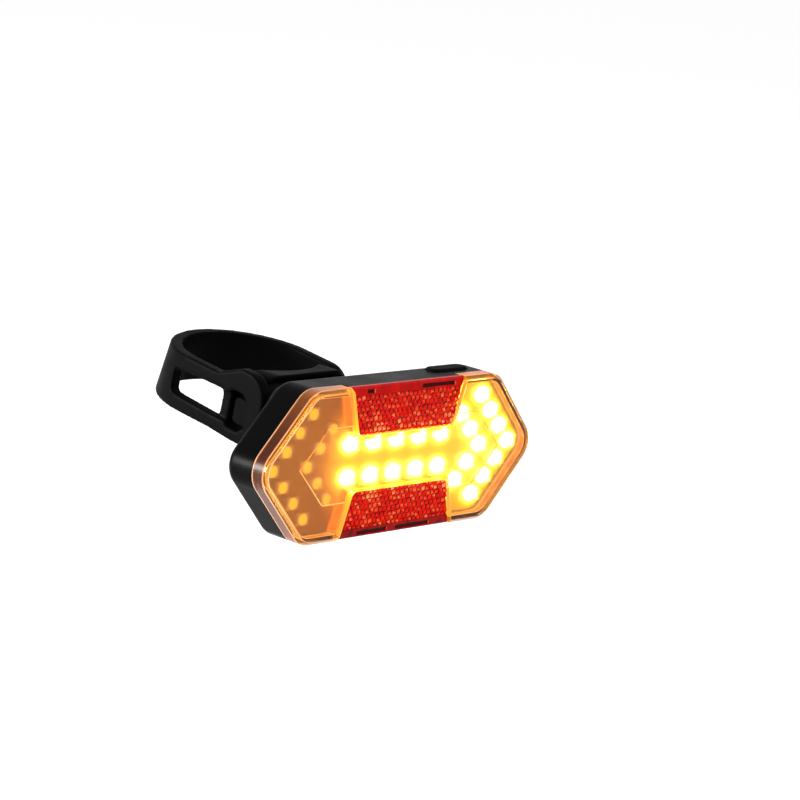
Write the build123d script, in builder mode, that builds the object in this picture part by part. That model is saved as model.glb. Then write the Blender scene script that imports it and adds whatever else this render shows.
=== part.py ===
from build123d import *
import os
from math import cos, radians, sin, tan

# Bike tail light with turn arrows, on a rubber strap bracket for a round post.
# X runs across the light, Y from the lens towards the post, Z up.
# The origin is the centre of the post clamp, and the lens faces -Y.
os.makedirs("parts", exist_ok=True)

# Post and the rubber that grips it
post_radius = 15.8
post_lean = 17.0
grip_clearance = 0.1
strap_thickness = 2.8
strap_lean = 7.2
strap_width = 13.6
strap_back_width = 12.4
strap_widening = 10.0
strap_taper = 7.5
strap_end_width = 17.3
strap_end_rise = 1.4
strap_end_reach = 25.9
strap_end_round = 6.0
strap_tab = 5.6
hook_slot_length = 5.3
hook_slot_height = 8.9
rung_length = 2.8
rung_recess = 0.9
long_slot_height = 6.9
long_slot_end_height = 6.0
long_slot_angle = 15.0
slot_round = 1.4
eye_reach = 17.8
eye_round = 6.7
pad_width = 27.0
pad_thickness = 2.0
pad_lip_reach = 22.2
pad_lip = 1.5
pad_lip_round = 4.5
pad_corner_round = 4.0

# Where the light stands from the clamp centre
channel_wall = 4.55
light_drop = 6.3

# Bracket between the light and the post
bracket_rise = 3.4
bracket_height = 15.4
bracket_front_width = 23.0
bracket_flare = 6.0
bracket_back_reach = 12.0
bracket_corner_round = 1.5
bracket_side_round = 6.0
hook_length = 3.6
hook_height = 6.0
hook_round = 1.2
hook_recess = 1.0
hook_nose = 1.0
hook_nose_thickness = 0.9
hook_play = 0.15
stud_reach = 13.9
stud_radius = 2.0
stud_recess = 0.2
stud_head_radius = 2.9
stud_head_thickness = 1.0

# Rail on the back of the light and the channel that takes it
rail_base_width = 28.0
rail_base_thickness = 1.8
rail_height = 14.0
rail_neck_width = 12.0
rail_neck_length = 1.8
rail_head_width = 18.0
rail_head_thickness = 2.4
rail_play = 0.25
rail_seat = 0.1
rail_stop = 2.2
rail_corner = 1.0
rail_screw_head = 3.6
rail_screw_thread = 2.0
rail_screw_length = 3.4
rail_screw_x = 11.4
rail_screw_z = 4.6
rail_screw_slot = 0.6

# Long hexagon outline of the light
half_width = 45.8
half_height = 17.4
tip_length = 15.6
corner_radius = 6.0

# Clear lens cover
lens_rise = 4.4
lens_wall = 1.6
lens_edge = 1.0
arrow_inset = 13.3
arrow_head_length = 8.0
arrow_half_height = 8.7
arrow_step = 0.4

# Red reflector windows in the lens
window_inset = 11.5
window_spread = 3.1
window_share = 0.632
window_corner = 1.5
window_wall = 1.0
window_gap = 0.15
reflector_recess_inner = 0.3
reflector_recess_outer = 1.3
reflector_wall = 1.4
reflector_hollow = 1.8
reflector_edge = 0.5

# Housing
rim_depth = 8.5
rim_wall = 1.6
rim_floor = 2.0
rim_round = 2.5
ledge = 2.0
tab_rise = 2.0
bay_depth = 17.0
bay_inset = 4.2
bay_top_gap = 2.4
bay_rise = 2.0
bay_corner = 6.0
bay_taper = 6.0
bay_round = 2.0
bay_wall = 1.8
bay_side_wall = 2.8

# Lamp board and the light-emitting diodes on it
board_thickness = 1.2
board_gap = 0.2
led_length = 3.5
led_width = 2.8
led_height = 0.8
led_dish = 2.3
led_dish_depth = 0.15
chevron_inset = 7.0
chevron_gap = 10.2
chevron_step_x = 3.6
chevron_share = 0.227
shaft_step = 7.45
shaft_margin = 0.15
tail_led_step = 7.0

# Power button and its switch
button_inset = 10.2
button_depth = 3.9
button_length = 12.2
button_width = 3.9
button_stand = 0.6
button_play = 0.3
button_round = 0.5
button_flange = 0.55
button_flange_thickness = 0.8
button_travel = 0.5
switch_width = 6.0
switch_depth = 3.5
switch_height = 3.5
stem_radius = 0.8
stem_bite = 1.0
stem_play = 0.1

# Charging socket and its rubber cover
socket_inset = 10.2
socket_width = 8.94
socket_depth = 3.26
socket_length = 7.3
socket_wall = 0.3
socket_play = 0.2
tongue_width = 6.7
tongue_thickness = 0.7
tongue_length = 4.9
cover_length = 14.4
cover_width = 4.4
cover_thickness = 1.3
cover_play = 0.15
cover_depth = 2.9
cover_plug_width = 7.7
cover_plug_depth = 1.9
cover_plug_wall = 0.45
cover_plug_length = 1.2
cover_pull = 1.6

# Battery and electronics behind the board
battery_end_gap = 0.8
battery_side_gap = 0.7
battery_front_gap = 0.4
battery_round = 1.5
foam_thickness = 0.9
foam_length = 30.0
foam_height = 14.0
guard_thickness = 1.4
connector_x = 10.0
connector_length = 6.0
connector_height = 4.6
connector_thickness = 3.6
lead_radius = 0.6
lead_half_pitch = 1.0
lead_bend = 2.5
chip_side = 5.0
chip_thickness = 0.9
chip_x = -2.0
chip_z = -7.0
charger_side = 3.0
charger_thickness = 1.1
charger_x = 9.5
charger_inset = 6.4
radio_length = 14.0
radio_height = 10.0
radio_thickness = 1.0
radio_x = -17.0
radio_z = 3.0
radio_chip_length = 5.0
radio_chip_height = 4.0
radio_chip_thickness = 1.2

# Values worked out from the driving sizes
grip_radius = post_radius + grip_clearance
strap_outer = grip_radius + strap_thickness
half_top = half_width - tip_length
arrow_tip = half_width - arrow_inset
arrow_shoulder_x = arrow_tip - arrow_head_length
window_outer = half_top - window_inset
window_inner = window_outer - window_spread
window_floor = half_height * (1 - window_share)
window_slope = window_spread / (half_height - window_floor)
board_back = board_thickness
rim_inner_floor = rim_depth - rim_floor
bay_inner_floor = bay_depth - bay_wall
bay_width = 2 * (half_top - bay_inset)
bay_height = 2 * (half_height - bay_rise - bay_top_gap)
bay_inside_width = bay_width - 2 * bay_side_wall
bay_inside_height = bay_height - 2 * bay_side_wall
rail_center = bracket_rise + rail_stop / 2
bracket_front_depth = bay_depth + rail_base_thickness + rail_play
head_front_depth = bay_depth + rail_base_thickness + rail_neck_length
head_back_depth = head_front_depth + rail_head_thickness
channel_back_depth = head_back_depth + rail_play
pad_front_depth = channel_back_depth + channel_wall
light_reach = pad_front_depth + pad_lip_reach
bracket_back_depth = light_reach - bracket_back_reach
button_x = half_top - button_inset
socket_x = half_top - socket_inset
outer_chevron_tip = half_width - chevron_inset
inner_chevron_tip = outer_chevron_tip - chevron_gap
chevron_step_z = half_height * chevron_share
shaft_half = window_floor - window_wall - shaft_margin - led_width / 2
hollow_bottom = window_floor + window_gap + reflector_wall
tab_face = half_height - rim_wall - window_gap
hollow_top = tab_face - reflector_wall
tail_led_z = (hollow_bottom + hollow_top) / 2
battery_depth = rim_inner_floor + battery_front_gap
battery_back = bay_inner_floor - foam_thickness
battery_thickness = battery_back - battery_depth
battery_length = bay_inside_width - 2 * (guard_thickness + battery_end_gap)
battery_height = bay_inside_height - 2 * battery_side_gap
guard_depth = battery_thickness - 2 * battery_round
guard_height = battery_height - 2 * battery_round
charger_z = charger_inset - half_height
wall_inner_top = half_height - rim_wall - ledge
wall_cut = 1.35 * (rim_wall + ledge)
flange_top = wall_inner_top - 0.05
flange_bottom = flange_top - button_flange_thickness
screen = 3 * half_width


def y_at(depth):
    """Part coordinate of a depth behind the lens parting plane."""
    return depth - light_reach


def z_at(height):
    """Part coordinate of a height over the middle of the light."""
    return height - light_drop


def layer(depth):
    """Plane across the light at a depth, its normal towards the viewer."""
    return Plane(origin=(0, y_at(depth), z_at(0)), x_dir=(1, 0, 0), z_dir=(0, -1, 0))


def back_layer(depth):
    """Plane across the light at a depth, its normal towards the post."""
    return Plane(origin=(0, y_at(depth), z_at(0)), x_dir=(-1, 0, 0), z_dir=(0, 1, 0))


def level(height):
    """Horizontal plane at a height over the middle of the light."""
    return Plane.XY.offset(z_at(height))


def hexagon(inset):
    """Outline of the light with all its sides moved in by the inset."""
    with BuildSketch(mode=Mode.PRIVATE) as flat:
        with BuildLine():
            Polyline(
                (half_width, 0),
                (half_top, half_height),
                (-half_top, half_height),
                (-half_width, 0),
                (-half_top, -half_height),
                (half_top, -half_height),
                close=True,
            )
        make_face()
        fillet(flat.vertices(), corner_radius)
        if inset > 0:
            offset(amount=-inset)
    return flat.sketch


def window(side, growth):
    """Opening for a reflector, widening to the edge and grown on all sides."""
    reach = half_height + corner_radius
    edge_half = window_inner + (reach - window_floor) * window_slope
    with BuildSketch(mode=Mode.PRIVATE) as flat:
        with BuildLine():
            Polyline(
                (-window_inner, side * window_floor),
                (window_inner, side * window_floor),
                (edge_half, side * reach),
                (-edge_half, side * reach),
                close=True,
            )
        make_face()
        inner = flat.vertices().sort_by(lambda v: abs(v.Y))[0:2]
        fillet(inner, window_corner)
        if growth:
            offset(amount=growth)
    return flat.sketch


outline = hexagon(0)
lens_inside = hexagon(lens_wall)
pocket_outline = hexagon(rim_wall)
ledge_outline = hexagon(rim_wall + ledge)
board_outline = hexagon(rim_wall + board_gap)
windows = {side: window(side, 0) for side in (1, -1)}
window_walls = {side: window(side, window_wall) for side in (1, -1)}
reflector_outlines = {side: window(side, -window_gap) for side in (1, -1)}
reflector_hollows = {side: window(side, -window_gap - reflector_wall) for side in (1, -1)}
names = {1: "upper", -1: "lower"}


# Clear lens cover
with BuildPart() as lens_cover:
    with BuildSketch(layer(0)):
        add(outline)
    extrude(amount=lens_rise)
    front_edges = lens_cover.faces().sort_by(Axis.Y)[0].edges()
    chamfer(front_edges, lens_edge)
    with BuildSketch(layer(0)):
        add(lens_inside)
        for side in (1, -1):
            add(window_walls[side], mode=Mode.SUBTRACT)
    extrude(amount=lens_rise - lens_wall, mode=Mode.SUBTRACT)
    with BuildSketch(layer(0).offset(lens_rise - lens_wall - arrow_step)):
        with BuildLine():
            Polyline(
                (arrow_tip, 0),
                (arrow_shoulder_x, arrow_half_height),
                (-arrow_shoulder_x, arrow_half_height),
                (-arrow_tip, 0),
                (-arrow_shoulder_x, -arrow_half_height),
                (arrow_shoulder_x, -arrow_half_height),
                close=True,
            )
        make_face()
    extrude(amount=lens_wall)
    with BuildSketch(layer(0)):
        for side in (1, -1):
            add(windows[side])
    extrude(amount=lens_rise, mode=Mode.SUBTRACT)
lens_cover.part.label = "lens_cover"
export_step(lens_cover.part, "parts/lens_cover.step")


# Red reflector in each window, its face sloping back towards the edge
for side in (1, -1):
    face_inner = lens_rise - reflector_recess_inner
    face_outer = lens_rise - reflector_recess_outer
    side_plane = Plane(origin=(0, y_at(0), z_at(0)), x_dir=(0, -1, 0), z_dir=(-1, 0, 0))
    with BuildPart() as reflector:
        with BuildSketch(layer(0)):
            add(reflector_outlines[side])
            add(outline, mode=Mode.INTERSECT)
        extrude(amount=lens_rise)
        with BuildSketch(side_plane):
            with BuildLine():
                Polyline(
                    (0, side * window_floor),
                    (face_inner, side * window_floor),
                    (face_outer, side * half_height),
                    (0, side * half_height),
                    close=True,
                )
            make_face()
        extrude(amount=screen, both=True, mode=Mode.INTERSECT)
        top_edge = reflector.edges().filter_by(Axis.X).sort_by(Axis.Z)[-2:]
        if side < 0:
            top_edge = reflector.edges().filter_by(Axis.X).sort_by(Axis.Z)[:2]
        fillet(top_edge.sort_by(Axis.Y)[0], reflector_edge)
        with BuildSketch(layer(0)):
            with Locations((0, side * (tab_face + rim_wall))):
                Rectangle(screen, 2 * rim_wall)
        extrude(amount=tab_rise, mode=Mode.SUBTRACT)
        with BuildSketch(layer(0)):
            add(reflector_hollows[side])
            with Locations((0, side * hollow_top / 2)):
                Rectangle(screen, hollow_top, mode=Mode.INTERSECT)
        extrude(amount=reflector_hollow, mode=Mode.SUBTRACT)
    reflector.part.label = names[side] + "_reflector"
    export_step(reflector.part, "parts/" + names[side] + "_reflector.step")


# Black housing: rim, battery bay, tabs behind the reflectors, button and socket holes
tab_half = window_inner + (half_height - rim_wall - window_floor) * window_slope - window_gap
cover_left = socket_x - cover_length / 2
with BuildPart() as housing_shell:
    with BuildSketch(back_layer(0)):
        add(outline)
    extrude(amount=rim_depth)
    fillet(housing_shell.faces().sort_by(Axis.Y)[-1].edges(), rim_round)
    with BuildSketch(back_layer(rim_depth - rim_floor / 2)):
        with Locations((0, bay_rise)):
            RectangleRounded(bay_width, bay_height, bay_corner)
    extrude(amount=bay_depth - rim_depth + rim_floor / 2, taper=bay_taper)
    fillet(housing_shell.faces().sort_by(Axis.Y)[-1].edges(), bay_round)
    with BuildSketch(layer(0)):
        for side in (1, -1):
            with Locations((0, side * (half_height - rim_wall / 2))):
                Rectangle(2 * tab_half, rim_wall)
    extrude(amount=tab_rise)
    with BuildSketch(layer(0)):
        add(pocket_outline)
    extrude(amount=-board_back, mode=Mode.SUBTRACT)
    with BuildSketch(layer(board_back)):
        add(ledge_outline)
    extrude(amount=board_back - rim_inner_floor, mode=Mode.SUBTRACT)
    with BuildSketch(layer(rim_inner_floor)):
        with Locations((0, bay_rise)):
            RectangleRounded(bay_inside_width, bay_inside_height, bay_corner - bay_wall)
    extrude(amount=rim_inner_floor - bay_inner_floor, mode=Mode.SUBTRACT)
    with BuildSketch(level(half_height)):
        with Locations((button_x, y_at(button_depth))):
            hole_length = button_length + 2 * button_play
            hole_width = button_width + 2 * button_play
            RectangleRounded(hole_length, hole_width, hole_width / 2 - 0.01)
    extrude(amount=-wall_cut, mode=Mode.SUBTRACT)
    with BuildSketch(level(-half_height)):
        with Locations((socket_x, y_at(cover_depth))):
            Rectangle(cover_length + 2 * cover_play, cover_width + 2 * cover_play)
    extrude(amount=cover_thickness + cover_play, mode=Mode.SUBTRACT)
    with BuildSketch(level(-half_height)):
        with Locations((socket_x, y_at(board_back + socket_depth / 2))):
            Rectangle(socket_width + 2 * socket_play, socket_depth + 2 * socket_play)
    extrude(amount=wall_cut, mode=Mode.SUBTRACT)
    with Locations(back_layer(bay_depth)):
        with GridLocations(2 * rail_screw_x, 2 * rail_screw_z, 2, 2):
            with Locations((0, rail_center)):
                Hole(rail_screw_thread / 2, bay_wall)
housing_shell.part.label = "housing_shell"
export_step(housing_shell.part, "parts/housing_shell.step")


# Rail screwed to the back of the housing
screw_places = [
    (x, rail_center + z)
    for x in (-rail_screw_x, rail_screw_x)
    for z in (-rail_screw_z, rail_screw_z)
]
with BuildPart() as rail_plate:
    with BuildSketch(back_layer(bay_depth)):
        with Locations((0, rail_center)):
            RectangleRounded(rail_base_width, rail_height, rail_corner)
    extrude(amount=rail_base_thickness)
    with BuildSketch(back_layer(bay_depth + rail_base_thickness)):
        with Locations((0, rail_center)):
            Rectangle(rail_neck_width, rail_height)
    extrude(amount=rail_neck_length)
    with BuildSketch(back_layer(head_front_depth)):
        with Locations((0, rail_center)):
            Rectangle(rail_head_width, rail_height)
    extrude(amount=rail_head_thickness)
    chamfer(rail_plate.faces().sort_by(Axis.Y)[-1].edges().filter_by(Axis.Z), rail_corner / 2)
    with Locations(back_layer(bay_depth + rail_base_thickness)):
        with Locations(*screw_places):
            CounterSinkHole(rail_screw_thread / 2, rail_screw_head / 2)
rail_plate.part.label = "rail_plate"
export_step(rail_plate.part, "parts/rail_plate.step")


# Countersunk screws that hold the rail, each with a driver slot
cone_length = (rail_screw_head - rail_screw_thread) / 2
with BuildPart() as rail_screws:
    with BuildSketch(back_layer(bay_depth + rail_base_thickness)):
        with Locations(*screw_places):
            Circle(rail_screw_thread / 2)
    extrude(amount=-rail_screw_length)
    for place in screw_places:
        head_plane = back_layer(bay_depth + rail_base_thickness)
        with BuildSketch(head_plane.offset(-cone_length)):
            with Locations(place):
                Circle(rail_screw_thread / 2)
        with BuildSketch(head_plane):
            with Locations(place):
                Circle(rail_screw_head / 2)
        loft()
    with BuildSketch(back_layer(bay_depth + rail_base_thickness)):
        with Locations(*screw_places):
            Rectangle(rail_screw_head, rail_screw_slot)
    extrude(amount=-cone_length / 2, mode=Mode.SUBTRACT)
rail_screws.part.label = "rail_screws"
export_step(rail_screws.part, "parts/rail_screws.step")


# Lamp board
with BuildPart() as led_board:
    with BuildSketch(layer(board_back)):
        add(board_outline)
    extrude(amount=board_thickness)
led_board.part.label = "led_board"
export_step(led_board.part, "parts/led_board.step")


def chevron(tip, rows, side):
    """Places along a chevron, from its tip back along both arms."""
    steps = [(k, z) for k in range(rows) for z in ((1, -1) if k else (1,))]
    return [(side * (tip - k * chevron_step_x), z * k * chevron_step_z) for k, z in steps]


led_groups = {
    "left_arrow_leds": chevron(outer_chevron_tip, 4, -1) + chevron(inner_chevron_tip, 3, -1),
    "right_arrow_leds": chevron(outer_chevron_tip, 4, 1) + chevron(inner_chevron_tip, 3, 1),
    "shaft_leds": [(j * shaft_step, z * shaft_half) for j in range(-2, 3) for z in (1, -1)],
    "tail_leds": [
        ((j - 1.5) * tail_led_step, z * tail_led_z) for j in range(4) for z in (1, -1)
    ],
}

# Light-emitting diodes, one node for each lamp that lights together
for name, places in led_groups.items():
    with BuildPart() as leds:
        with BuildSketch(layer(0)):
            with Locations(*places):
                Rectangle(led_length, led_width)
        extrude(amount=led_height)
        with BuildSketch(layer(0).offset(led_height)):
            with Locations(*places):
                Circle(led_dish / 2)
        extrude(amount=-led_dish_depth, mode=Mode.SUBTRACT)
    leds.part.label = name
    export_step(leds.part, "parts/" + name + ".step")


# Rubber power button in the top of the housing
with BuildPart() as power_button:
    with BuildSketch(level(flange_bottom)):
        with Locations((button_x, y_at(button_depth))):
            flange_length = button_length + 2 * button_flange
            flange_width = button_width + 2 * button_flange
            RectangleRounded(flange_length, flange_width, button_width / 2)
    extrude(amount=button_flange_thickness)
    with BuildSketch(level(flange_top)):
        with Locations((button_x, y_at(button_depth))):
            RectangleRounded(button_length, button_width, button_width / 2 - 0.01)
    extrude(amount=half_height + button_stand - flange_top)
    fillet(power_button.faces().sort_by(Axis.Z)[-1].edges(), button_round)
power_button.part.label = "power_button"
export_step(power_button.part, "parts/power_button.step")


# Switch under the button: fixed case and moving stem
stem_bottom = flange_bottom - button_travel - stem_bite - stem_play
switch_top = flange_bottom - button_travel - stem_play
with BuildPart() as switch_case:
    with BuildSketch(level(switch_top)):
        with Locations((button_x, y_at(board_back + switch_depth / 2))):
            Rectangle(switch_width, switch_depth)
    extrude(amount=-switch_height)
    with BuildSketch(level(switch_top)):
        with Locations((button_x, y_at(board_back + switch_depth / 2))):
            Circle(stem_radius + stem_play)
    extrude(amount=-stem_bite - button_travel - stem_play, mode=Mode.SUBTRACT)
switch_case.part.label = "switch_case"
export_step(switch_case.part, "parts/switch_case.step")

with BuildPart() as switch_stem:
    with BuildSketch(level(stem_bottom)):
        with Locations((button_x, y_at(board_back + switch_depth / 2))):
            Circle(stem_radius)
    extrude(amount=flange_bottom - stem_bottom)
switch_stem.part.label = "switch_stem"
export_step(switch_stem.part, "parts/switch_stem.step")


# Charging socket on the board, its mouth in the bottom wall of the housing
socket_mouth = -half_height + cover_thickness + cover_play
socket_center = (socket_x, y_at(board_back + socket_depth / 2))
with BuildPart() as charge_socket:
    with BuildSketch(level(socket_mouth)):
        with Locations(socket_center):
            RectangleRounded(socket_width, socket_depth, socket_depth / 2 - 0.05)
    extrude(amount=socket_length)
    with BuildSketch(level(socket_mouth)):
        with Locations(socket_center):
            bore_width = socket_width - 2 * socket_wall
            bore_depth = socket_depth - 2 * socket_wall
            RectangleRounded(bore_width, bore_depth, bore_depth / 2 - 0.05)
    extrude(amount=socket_length - socket_wall, mode=Mode.SUBTRACT)
charge_socket.part.label = "charge_socket"
export_step(charge_socket.part, "parts/charge_socket.step")

with BuildPart() as socket_tongue:
    with BuildSketch(level(socket_mouth + socket_length - socket_wall)):
        with Locations(socket_center):
            Rectangle(tongue_width, tongue_thickness)
    extrude(amount=-tongue_length)
socket_tongue.part.label = "socket_tongue"
export_step(socket_tongue.part, "parts/socket_tongue.step")


# Rubber cover over the socket, turning on the barrel at its inner end
cover_barrel = cover_thickness / 2
cover_mid = -half_height + cover_barrel
cover_hinge_x = cover_left + cover_barrel
cover_side = Plane(origin=(0, y_at(cover_depth), z_at(0)), x_dir=(1, 0, 0), z_dir=(0, -1, 0))
with BuildPart() as socket_cover:
    with BuildSketch(cover_side):
        with Locations((cover_hinge_x, cover_mid)):
            Circle(cover_barrel)
        with Locations((cover_hinge_x + (cover_length - cover_barrel) / 2, cover_mid)):
            Rectangle(cover_length - cover_barrel, cover_thickness)
    extrude(amount=cover_width / 2, both=True)
    with BuildSketch(level(-half_height + cover_thickness)):
        with Locations(socket_center):
            RectangleRounded(cover_plug_width, cover_plug_depth, cover_plug_depth / 2 - 0.05)
            hollow_width = cover_plug_width - 2 * cover_plug_wall
            hollow_depth = cover_plug_depth - 2 * cover_plug_wall
            Rectangle(hollow_width, hollow_depth, mode=Mode.SUBTRACT)
    extrude(amount=cover_plug_length)
    with BuildSketch(cover_side):
        with Locations((socket_x + cover_length / 2 - cover_pull / 2, -half_height)):
            Circle(cover_pull / 4)
    extrude(amount=cover_width / 2, both=True, mode=Mode.SUBTRACT)
socket_cover.part.label = "socket_cover"
export_step(socket_cover.part, "parts/socket_cover.step")


# Flat battery in the bay, held by a foam pad
with BuildPart() as battery_cell:
    with BuildSketch(back_layer(battery_depth)):
        with Locations((0, bay_rise)):
            RectangleRounded(battery_length, battery_height, battery_round)
    extrude(amount=battery_thickness)
    fillet(battery_cell.edges().filter_by(Axis.X), battery_round)
battery_cell.part.label = "battery_cell"
export_step(battery_cell.part, "parts/battery_cell.step")

with BuildPart() as battery_foam:
    with BuildSketch(back_layer(battery_back)):
        with Locations((0, bay_rise)):
            Rectangle(foam_length, foam_height)
    extrude(amount=bay_inner_floor - battery_back)
battery_foam.part.label = "battery_foam"
export_step(battery_foam.part, "parts/battery_foam.step")


# Battery guard board at the end of the cell, with its leads and their connector
guard_x = battery_length / 2
guard_front = battery_depth + battery_round
lead_x = guard_x + guard_thickness / 2
connector_end = connector_x + connector_length / 2
lead_depth = board_back + connector_thickness / 2
with BuildPart() as guard_board:
    with BuildSketch(back_layer(guard_front)):
        with Locations((-lead_x, bay_rise)):
            Rectangle(guard_thickness, guard_height)
    extrude(amount=guard_depth)
guard_board.part.label = "guard_board"
export_step(guard_board.part, "parts/guard_board.step")

with BuildPart() as battery_connector:
    with BuildSketch(back_layer(board_back)):
        with Locations((-connector_x, bay_rise)):
            Rectangle(connector_length, connector_height)
    extrude(amount=connector_thickness)
battery_connector.part.label = "battery_connector"
export_step(battery_connector.part, "parts/battery_connector.step")

with BuildPart() as battery_leads:
    for row in (-1, 1):
        lead_z = z_at(bay_rise + row * lead_half_pitch)
        with BuildLine() as route:
            FilletPolyline(
                (lead_x, y_at(guard_front), lead_z),
                (lead_x, y_at(lead_depth), lead_z),
                (connector_end, y_at(lead_depth), lead_z),
                radius=lead_bend,
            )
        with BuildSketch(Plane(origin=route.line @ 0, z_dir=route.line % 0)):
            Circle(lead_radius)
        sweep(path=route.line)
battery_leads.part.label = "battery_leads"
export_step(battery_leads.part, "parts/battery_leads.step")


def board_block(name, x, z, length, height, thickness, start=board_back):
    """Flat component on the back of the board."""
    with BuildPart() as block:
        with BuildSketch(back_layer(start)):
            with Locations((-x, z)):
                Rectangle(length, height)
        extrude(amount=thickness)
    block.part.label = name
    export_step(block.part, "parts/" + name + ".step")


board_block("controller_chip", chip_x, chip_z, chip_side, chip_side, chip_thickness)
board_block("charger_chip", charger_x, charger_z, charger_side, charger_side, charger_thickness)
board_block("radio_board", radio_x, radio_z, radio_length, radio_height, radio_thickness)
board_block(
    "radio_chip",
    radio_x,
    radio_z,
    radio_chip_length,
    radio_chip_height,
    radio_chip_thickness,
    board_back + radio_thickness,
)


# Planes of the post and of the strap
post_plane = Plane(
    origin=(0, 0, 0),
    x_dir=(1, 0, 0),
    z_dir=(0, -sin(radians(post_lean)), cos(radians(post_lean))),
)
strap_plane = Plane(
    origin=(0, 0, 0),
    x_dir=(0, cos(radians(strap_lean)), sin(radians(strap_lean))),
    z_dir=(1, 0, 0),
)
bracket_bottom = bracket_rise - bracket_height / 2
channel_floor = rail_center - rail_height / 2 - rail_seat
hook_slot_start = -strap_end_reach + strap_tab
hook_start = hook_slot_start + hook_play
hook_out = strap_outer - hook_recess
stud_out = strap_outer - stud_recess
rung_start = hook_slot_start + hook_slot_length
long_slot_start = rung_start + rung_length
long_slot_end = (grip_radius + strap_thickness / 2) * sin(radians(long_slot_angle))


# Bracket body with the rail channel, a hook for the strap on the left and a stud on the right
with BuildPart() as bracket_body:
    with BuildSketch(level(bracket_bottom)):
        with BuildLine():
            Polyline(
                (-bracket_front_width / 2, y_at(bracket_front_depth)),
                (bracket_front_width / 2, y_at(bracket_front_depth)),
                (grip_radius, y_at(bracket_front_depth + bracket_flare)),
                (grip_radius, y_at(bracket_back_depth)),
                (-grip_radius, y_at(bracket_back_depth)),
                (-grip_radius, y_at(bracket_front_depth + bracket_flare)),
                close=True,
            )
        make_face()
    extrude(amount=bracket_height)
    front_corners = bracket_body.edges().filter_by(Axis.Z).sort_by(Axis.Y)[0:4]
    fillet(front_corners, bracket_corner_round)
    with BuildSketch(layer(0)):
        with Locations((0, bracket_rise)):
            RectangleRounded(2 * grip_radius, bracket_height, bracket_side_round)
    extrude(amount=-screen, mode=Mode.INTERSECT)
    with BuildSketch(strap_plane):
        with Locations((hook_start + hook_length / 2, 0)):
            RectangleRounded(hook_length, hook_height, hook_round)
    extrude(amount=-hook_out)
    with BuildSketch(strap_plane.offset(-hook_out)):
        with Locations((hook_start, 0)):
            RectangleRounded(2 * hook_nose, hook_height, hook_nose / 2)
    extrude(amount=hook_nose_thickness)
    with BuildSketch(strap_plane):
        with Locations((-stud_reach, 0)):
            Circle(stud_radius)
    extrude(amount=stud_out)
    with BuildSketch(strap_plane.offset(stud_out)):
        with Locations((-stud_reach, 0)):
            Circle(stud_head_radius)
    extrude(amount=-stud_head_thickness)
    with BuildSketch(post_plane):
        Circle(grip_radius + pad_thickness)
    extrude(amount=screen, both=True, mode=Mode.SUBTRACT)
    with BuildSketch(level(channel_floor)):
        with Locations((0, y_at((bracket_front_depth + head_front_depth) / 2))):
            Rectangle(rail_neck_width + 2 * rail_play, head_front_depth - bracket_front_depth)
        with Locations((0, y_at((head_front_depth + head_back_depth) / 2))):
            Rectangle(rail_head_width + 2 * rail_play, rail_head_thickness + 2 * rail_play)
    extrude(amount=screen, mode=Mode.SUBTRACT)
bracket_body.part.label = "bracket_body"
export_step(bracket_body.part, "parts/bracket_body.step")


# Rubber pad between the bracket and the post, with a lip over and under the bracket
with BuildPart() as saddle_pad:
    with BuildSketch(level(bracket_bottom - pad_lip)):
        with Locations((0, y_at((pad_front_depth + bracket_back_depth) / 2))):
            Rectangle(pad_width, bracket_back_depth - pad_front_depth)
    extrude(amount=bracket_height + 2 * pad_lip)
    pad_corners = saddle_pad.edges().filter_by(Axis.Z).sort_by(Axis.Y)[0:2]
    fillet(pad_corners, pad_corner_round)
    with BuildSketch(layer(0)):
        with Locations((0, bracket_rise)):
            RectangleRounded(pad_width, bracket_height + 2 * pad_lip, pad_lip_round)
    extrude(amount=-screen, mode=Mode.INTERSECT)
    with BuildSketch(post_plane):
        Circle(grip_radius)
    extrude(amount=screen, both=True, mode=Mode.SUBTRACT)
    add(bracket_body.part, mode=Mode.SUBTRACT)
saddle_pad.part.label = "saddle_pad"
export_step(saddle_pad.part, "parts/saddle_pad.step")


def strap_half(side, end_shape, corner):
    """Block with the side outline of one half of the strap, the two corners of its end rounded."""
    with BuildPart() as half:
        with BuildSketch(strap_plane) as band:
            with BuildLine():
                Polyline(
                    *end_shape,
                    (0, -strap_width / 2),
                    (2 * grip_radius, -strap_back_width / 2),
                    (2 * grip_radius, strap_back_width / 2),
                    (0, strap_width / 2),
                    close=True,
                )
            make_face()
            fillet(band.vertices().sort_by(Axis.X)[0:2], corner)
        extrude(amount=side * screen)
    return half.part


# Side outlines of the strap's ends: a pull tab on the left, an eye on the right
strap_start = strap_widening + strap_taper
tab_top = strap_end_rise + strap_end_width / 2
tab_bottom = strap_end_rise - strap_end_width / 2
tab_shape = [
    (-strap_widening, strap_width / 2),
    (-strap_start, tab_top),
    (-strap_end_reach, tab_top),
    (-strap_end_reach, tab_bottom),
    (-strap_start, tab_bottom),
    (-strap_widening, -strap_width / 2),
]
eye_shape = [(-eye_reach, strap_width / 2), (-eye_reach, -strap_width / 2)]


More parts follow.
